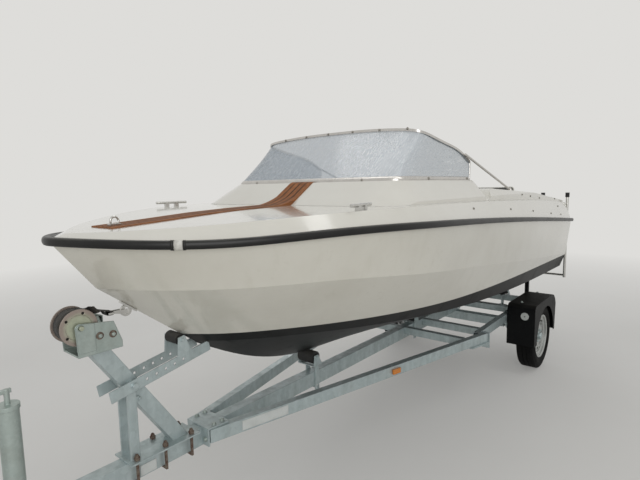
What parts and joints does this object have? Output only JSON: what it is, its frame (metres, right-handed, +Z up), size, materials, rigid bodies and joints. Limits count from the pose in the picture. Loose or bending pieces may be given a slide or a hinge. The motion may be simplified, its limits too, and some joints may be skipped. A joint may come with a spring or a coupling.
{
  "type": "speedboat",
  "caption": "open speedboat with planked foredeck, windscreen and back-to-back seats, standing on a braced single-axle road trailer with winch and jockey wheel",
  "frame": {"origin": "middle of the whole part's box, on the floor", "axes": "X forward to the bow and the coupling, Y to port, Z up"},
  "size_m": [4.7991, 1.639, 1.853],
  "materials": {
    "hull_gelcoat": "glossy white topsides, black below the waterline",
    "deck_gelcoat": "glossy white",
    "rub_rail": "satin black",
    "teak": "oiled planks",
    "tinted_screen": "clear",
    "screen_frame": "satin",
    "sole": "grey non-slip",
    "motor_pad": "satin",
    "stainless": "polished",
    "dash": "black",
    "helm": "black",
    "upholstery": "black with white piping",
    "black_rubber": "matt",
    "galvanised": "dull zinc",
    "label": "printed blank",
    "marker_lens": "amber",
    "black_plastic": "grained",
    "rusty_steel": "rusty",
    "zinc_plate": "worn bright zinc",
    "webbing": "worn",
    "reflector": "clear prismatic",
    "wheel_silver": "silver",
    "tyre": "worn black"
  },
  "bodies": {
    "boat_and_trailer": {"hull_shell": "hull_gelcoat", "deck_moulding": "deck_gelcoat", "coaming_moulding": "deck_gelcoat", "aft_deck": "deck_gelcoat", "aft_coaming": "deck_gelcoat", "motor_well": "deck_gelcoat", "seat_bases": "deck_gelcoat", "rub_rail": "rub_rail", "foredeck_planks": "teak", "windscreen_pane": "tinted_screen", "windscreen_frame": "screen_frame", "cockpit_sole": "sole", "motor_pad": "motor_pad", "bow_ring": "stainless", "stem_eye": "stainless", "deck_cleats": "stainless", "boarding_ladder": "stainless", "dashboard": "dash", "front_cushions": "upholstery", "rear_cushions": "upholstery", "front_seat_backs": "upholstery", "rear_seat_backs": "upholstery", "ladder_knobs": "black_rubber", "centre_beam": "galvanised", "side_beams": "galvanised", "cross_tubes": "galvanised", "frame_clamps": "galvanised", "axle_beam": "galvanised", "axle_arms": "galvanised", "mudguard_brackets": "galvanised", "roller_brackets": "galvanised", "coupling_head": "galvanised", "winch_post": "galvanised", "bow_support": "galvanised", "frame_labels": "label", "side_markers": "marker_lens", "coupling_handle": "black_plastic", "u_bolts": "rusty_steel", "bow_roller": "black_rubber", "hull_rollers": "black_rubber", "side_posts": "black_plastic", "winch_frame": "zinc_plate", "winch_hook": "zinc_plate", "winch_strap": "webbing", "mudguards": "black_plastic", "reflectors": "reflector", "jockey_sleeve": "zinc_plate"},
    "wheel_port": {"hub_port": "galvanised", "rim_port": "wheel_silver", "tyre_port": "tyre"},
    "wheel_starboard": {"hub_starboard": "galvanised", "rim_starboard": "wheel_silver", "tyre_starboard": "tyre"},
    "helm": {"steering_wheel": "helm"},
    "drum": {"winch_drum": "zinc_plate", "winch_coil": "webbing"},
    "crank": {"winch_crank": "zinc_plate"},
    "jockey_leg": {"jockey_tube": "zinc_plate"},
    "jockey_swivel": {"jockey_fork": "zinc_plate"},
    "jockey_roller": {"jockey_wheel": "black_rubber"}
  },
  "joints": [
    {"name": "wheel_port_spin", "type": "hinge", "parent": "boat_and_trailer", "child": "wheel_port", "pos_m": [-1.661, 0.637, 0.268], "axis": [0, 1, 0], "continuous": true},
    {"name": "wheel_starboard_spin", "type": "hinge", "parent": "boat_and_trailer", "child": "wheel_starboard", "pos_m": [-1.661, -0.637, 0.268], "axis": [0, 1, 0], "continuous": true},
    {"name": "steering", "type": "hinge", "parent": "boat_and_trailer", "child": "helm", "pos_m": [0.176, -0.3, 1.375], "axis": [-0.9659, 0, 0.2588], "range_deg": [-540, 540]},
    {"name": "winch_crank_turn", "type": "hinge", "parent": "boat_and_trailer", "child": "crank", "pos_m": [1.649, -0.1, 1.05], "axis": [0, 1, 0], "continuous": true},
    {"name": "winch_drum_turn", "type": "hinge", "parent": "boat_and_trailer", "child": "drum", "pos_m": [1.748, 0, 1.079], "axis": [0, 1, 0], "continuous": true},
    {"name": "jockey_raise", "type": "slide", "parent": "boat_and_trailer", "child": "jockey_leg", "axis": [0, 0, 1], "range_m": [0, 0.12]},
    {"name": "jockey_turn", "type": "hinge", "parent": "jockey_leg", "child": "jockey_swivel", "pos_m": [1.984, 0.076, 0.25], "axis": [0, 0, 1], "continuous": true},
    {"name": "jockey_roll", "type": "hinge", "parent": "jockey_swivel", "child": "jockey_roller", "pos_m": [1.929, 0.076, 0.1], "axis": [0, 1, 0], "continuous": true}
  ],
  "couplings": [
    {"joint": "winch_drum_turn", "follows": "winch_crank_turn", "ratio": -0.25}
  ]
}
